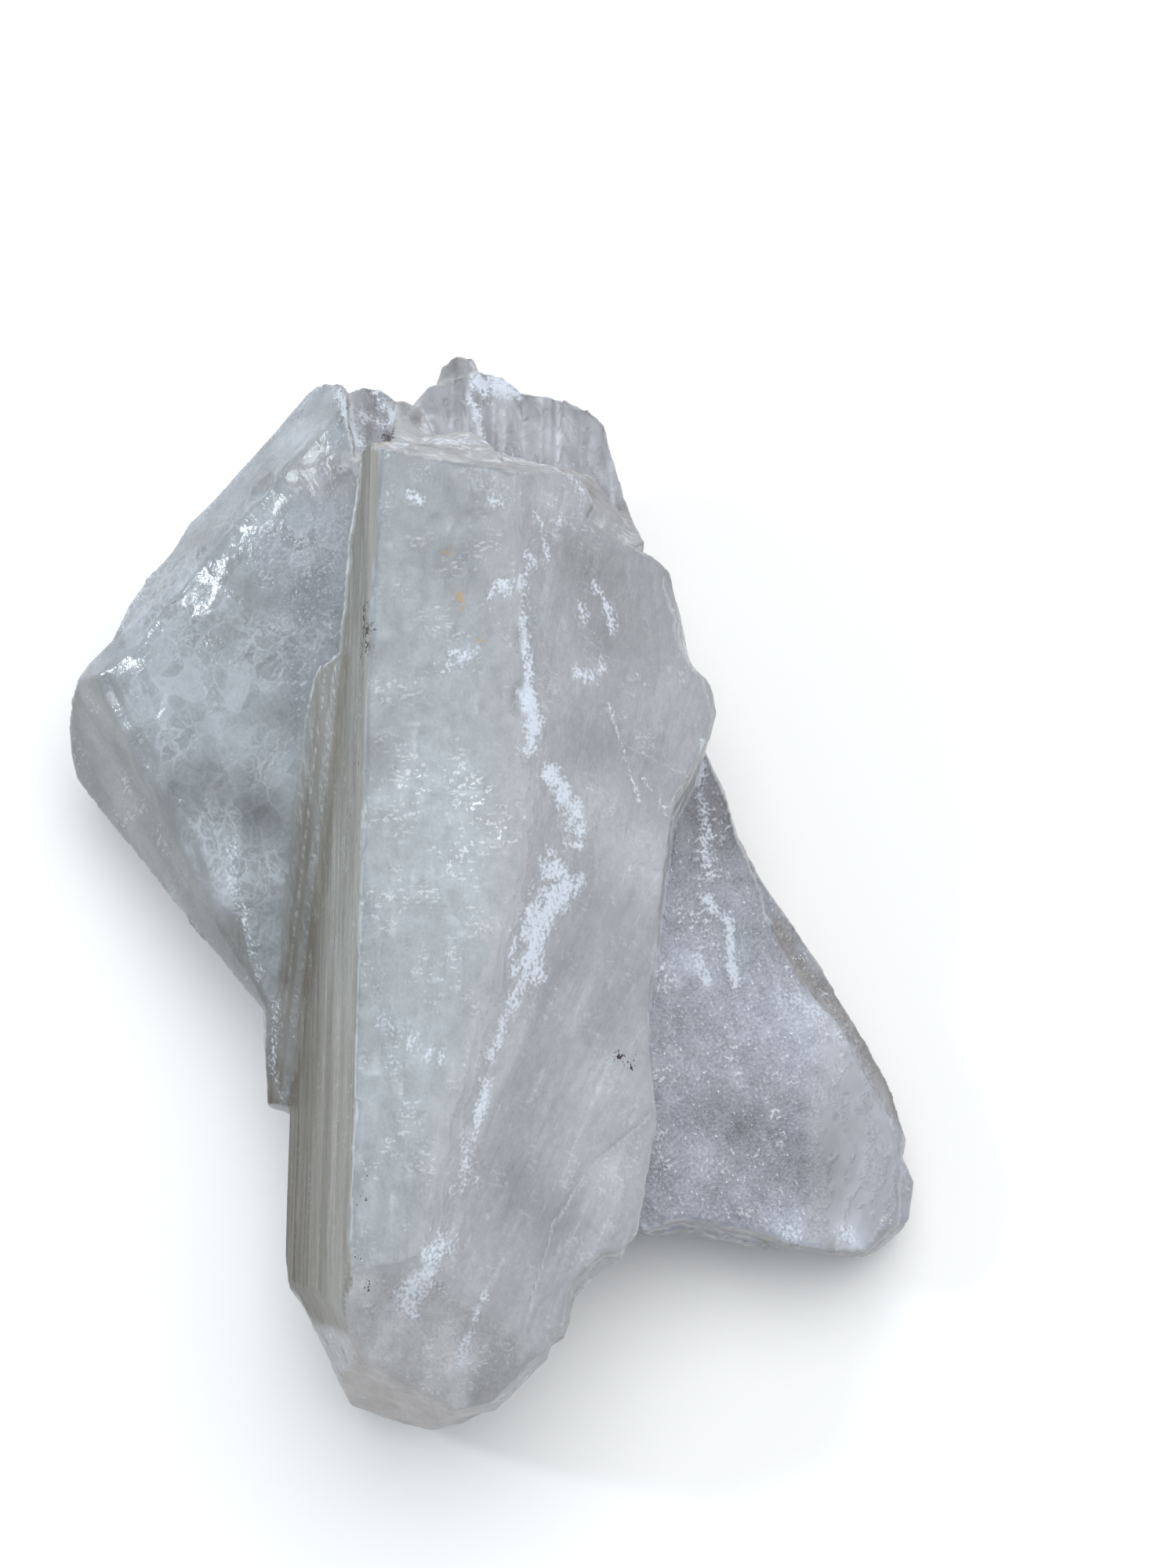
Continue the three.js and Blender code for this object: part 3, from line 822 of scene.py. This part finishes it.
# The finish: cloudy selenite. Light enters it, so it is part clear and part milky inside.
# Fibres, sheets, flakes, painted glints and glitter, veins and the ragged edges of the powder are finer than
# the skin.
POWDER_COLOUR = (*linear(204, 212, 223), 1)
VEIN_COLOUR = (*linear(198, 204, 213), 1)
# Painted highlight: the near-white colour of the specks that stand in for glints.
PAINTED_GLINT_COLOUR = (*linear(244, 247, 252), 1)
DIRT_COLOUR = (*linear(66, 58, 58), 1)
RUST_COLOUR = (*linear(178, 148, 98), 1)
REFRACTION = 1.52
CLEARNESS = 0.55
ABSORBING_COLOUR = (0.82, 0.87, 0.88, 1)
ABSORPTION = 10.0
# The sizes of the fine patterns, across and along the grain or from side to side.
FIBRE_SIZE = (0.35, 9)
SHEET_SIZE = (9, 26)
MOTTLE_SIZE = (0.9, 1.4)
GRIT_SIZE = (0.4, 0.5)
FLAKELET_SIZE = (0.7, 0.35)
WINDOW_SIZE = 2.4
SMALL_WINDOW_SIZE = 1.1
# How wide and how white the veins between the windows are, and how ragged.
VEIN_WIDTH = 0.12
FINE_VEIN_WIDTH = 0.15
FINE_VEIN_SHARE = 0.6
VEIN_WHITENESS = 0.5
VEIN_RAGGED = 0.8
# The part of each pattern's range over which a mark appears.
PAINTED_GLINTS_FROM = (0.84, 0.9)
PAINTED_GLITTER_FROM = (0.17, 0.21)
PAINTED_GLITTER_PATCHES = (0.46, 0.6)
DIRT_FROM = (0.55, 0.75)
RUST_FROM = (0.3, 0.9)
POWDER_FROM = (0.22, 1.0)
POWDER_COVER = 0.92
POWDER_DULLNESS = 0.35
# The fine surface: its height, how strongly it shows and how far the flakes lean.
BUMP_HEIGHT = 0.25
BUMP_STRENGTH = 0.45
MOTTLE_HEIGHT = 0.6
FLAKE_LEAN = 0.1

selenite = bpy.data.materials.new("selenite")
selenite.use_nodes = True
tree = selenite.node_tree
shader = tree.nodes["Principled BSDF"]
output = tree.nodes["Material Output"]


def feed(socket, value):
    """Sets a socket to a plain value, or links it to another node's output."""
    if isinstance(value, bpy.types.NodeSocket):
        tree.links.new(value, socket)
    else:
        socket.default_value = value


def node(kind, inputs, **settings):
    """Adds a node, with its inputs fed and its settings made."""
    made = tree.nodes.new(kind)
    for name, value in settings.items():
        setattr(made, name, value)
    for name, value in inputs.items():
        feed(made.inputs[name], value)
    return made


def stored(name):
    """Three values that the skin keeps for each point."""
    return node("ShaderNodeAttribute", {}, attribute_name=name).outputs["Vector"]


def parts_of(vector):
    return node("ShaderNodeSeparateXYZ", {0: vector}).outputs


def math_of(operation, first, second=0.0):
    return node("ShaderNodeMath", {0: first, 1: second}, operation=operation).outputs[0]


def centred(pattern):
    """A pattern that runs from 0 to 1, moved to run about 0."""
    return math_of("SUBTRACT", pattern, 0.5)


def vector_of(operation, first, second):
    return node("ShaderNodeVectorMath", {0: first, 1: second}, operation=operation).outputs[0]


def between(value, low, high, to_low=0.0, to_high=1.0):
    """Runs smoothly from one value to the other as the input goes from low to high."""
    inputs = {"Value": value, "From Min": low, "From Max": high, "To Min": to_low, "To Max": to_high}
    return node("ShaderNodeMapRange", inputs, interpolation_type="SMOOTHSTEP").outputs["Result"]


def blend(amount, first, second, how="MIX"):
    made = node("ShaderNodeMix", {0: amount, 6: first, 7: second}, data_type="RGBA", blend_type=how)
    return made.outputs[2]


def fine_noise(where, size, detail, distortion=0.0):
    """Noise whose lumps have the given size across and along the grain, in millimetres."""
    scaled = vector_of("DIVIDE", where, (*size, 1))
    inputs = {"Vector": scaled, "Scale": 1.0, "Detail": detail, "Distortion": distortion}
    return node("ShaderNodeTexNoise", inputs, noise_dimensions="2D").outputs["Fac"]


def cells(where, size, feature="F1"):
    """Angular cells of the given size, in millimetres."""
    inputs = {"Vector": where, "Scale": 1 / size}
    return node("ShaderNodeTexVoronoi", inputs, voronoi_dimensions="2D", feature=feature).outputs


along_grain = stored("grain")
steady_share = parts_of(along_grain)[2]
bent_grain = stored("bent_grain")
milk_share, dullness, powder_share = parts_of(stored("body"))
fibre_share, sheet_share, flake_share = parts_of(stored("texture"))
painted_glint_share, vein_share, fine_vein_share = parts_of(stored("marks"))
dirt_share, rust_share, grit_share = parts_of(stored("stains"))

fibres = fine_noise(along_grain, FIBRE_SIZE, 3.0)
sheets = math_of("FRACT", math_of("MULTIPLY", fine_noise(along_grain, SHEET_SIZE, 1.5, 0.4), 6.0))
mottle = fine_noise(along_grain, MOTTLE_SIZE, 3.0)
grit = centred(fine_noise(along_grain, GRIT_SIZE, 3.0))
windows = cells(bent_grain, WINDOW_SIZE)["Color"]
uneven = math_of("MULTIPLY", centred(mottle), VEIN_RAGGED)
veins = math_of("ADD", cells(bent_grain, WINDOW_SIZE, "DISTANCE_TO_EDGE")["Distance"], uneven)
veins = between(veins, 0.0, VEIN_WIDTH, 1.0, 0.0)
fine_veins = cells(bent_grain, SMALL_WINDOW_SIZE, "DISTANCE_TO_EDGE")["Distance"]
fine_veins = math_of("SUBTRACT", fine_veins, uneven)
fine_veins = between(fine_veins, 0.0, FINE_VEIN_WIDTH, FINE_VEIN_SHARE, 0.0)
veins = math_of("MAXIMUM", veins, math_of("MULTIPLY", fine_veins, fine_vein_share))
flakelet_grain = vector_of("DIVIDE", along_grain, (*FLAKELET_SIZE, 1))
flakelets = parts_of(cells(flakelet_grain, 1.0)["Color"])[0]
# Painted glints: small cells turned near-white, as a painted highlight.
painted_glints = between(math_of("ADD", flakelets, grit), *PAINTED_GLINTS_FROM)
# Painted glitter: grains turned near-white in patches on the grainy faces, as a painted highlight.
painted_glitter = math_of("MULTIPLY", between(grit, *PAINTED_GLITTER_FROM), between(mottle, *PAINTED_GLITTER_PATCHES))

# How far each pattern makes the stone lighter and darker.
tone = 1.0
for share, pattern, amount in (
    (fibre_share, centred(fibres), 0.5),
    (sheet_share, centred(sheets), 0.14),
    (flake_share, centred(parts_of(windows)[0]), 0.2),
    (steady_share, centred(mottle), 0.25),
    (steady_share, grit, 0.2),
    (grit_share, grit, 0.6),
):
    tone = math_of("ADD", math_of("MULTIPLY", share, math_of("MULTIPLY", pattern, amount)), tone)
stone = vector_of("MULTIPLY", stored("body_colour"), tone)
veined_share = math_of("MULTIPLY", math_of("MULTIPLY", veins, vein_share), VEIN_WHITENESS)
stone = blend(veined_share, stone, VEIN_COLOUR)
# Painted highlights: the glints and the glitter are blended in as near-white colour.
stone = blend(math_of("MULTIPLY", painted_glints, painted_glint_share), stone, PAINTED_GLINT_COLOUR)
stone = blend(math_of("MULTIPLY", painted_glitter, between(grit_share, 0.3, 1.0)), stone, PAINTED_GLINT_COLOUR)


def grainy(share, start, full):
    """Breaks a soft share up into grains."""
    broken_up = between(math_of("ADD", share, math_of("MULTIPLY", grit, 2.0)), start, full)
    return math_of("MULTIPLY", broken_up, between(share, 0.02, 0.2))


stone = blend(grainy(dirt_share, *DIRT_FROM), stone, DIRT_COLOUR)
stone = blend(grainy(rust_share, *RUST_FROM), stone, RUST_COLOUR)
dust = math_of("MULTIPLY", grainy(powder_share, *POWDER_FROM), POWDER_COVER)
feed(shader.inputs["Base Color"], blend(dust, stone, POWDER_COLOUR))

clear = math_of("MULTIPLY", math_of("SUBTRACT", 1.0, milk_share), math_of("SUBTRACT", 1.0, dust))
feed(shader.inputs["Transmission Weight"], math_of("MULTIPLY", clear, CLEARNESS))
feed(shader.inputs["Roughness"], math_of("ADD", dullness, math_of("MULTIPLY", dust, POWDER_DULLNESS)))
feed(shader.inputs["IOR"], REFRACTION)

height = math_of("MULTIPLY", math_of("MULTIPLY", mottle, MOTTLE_HEIGHT), steady_share)
height = math_of("ADD", height, math_of("MULTIPLY", fibres, fibre_share))
height = math_of("ADD", height, math_of("MULTIPLY", grit, grit_share))
lean = vector_of("SUBTRACT", windows, (0.5, 0.5, 0.5))
lean = vector_of("MULTIPLY", lean, math_of("MULTIPLY", flake_share, FLAKE_LEAN))
upright = node("ShaderNodeNewGeometry", {}).outputs["Normal"]
leaning = vector_of("NORMALIZE", vector_of("ADD", upright, lean), (0, 0, 0))
bump_inputs = {
    "Strength": BUMP_STRENGTH, "Distance": BUMP_HEIGHT * MM, "Height": height, "Normal": leaning,
}
bump = node("ShaderNodeBump", bump_inputs)
feed(shader.inputs["Normal"], bump.outputs["Normal"])

absorption = node("ShaderNodeVolumeAbsorption", {"Color": ABSORBING_COLOUR, "Density": ABSORPTION})
tree.links.new(absorption.outputs["Volume"], output.inputs["Volume"])
crystal.data.materials.clear()
crystal.data.materials.append(selenite)

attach(crystal, "root")
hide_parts("crystal_cluster")
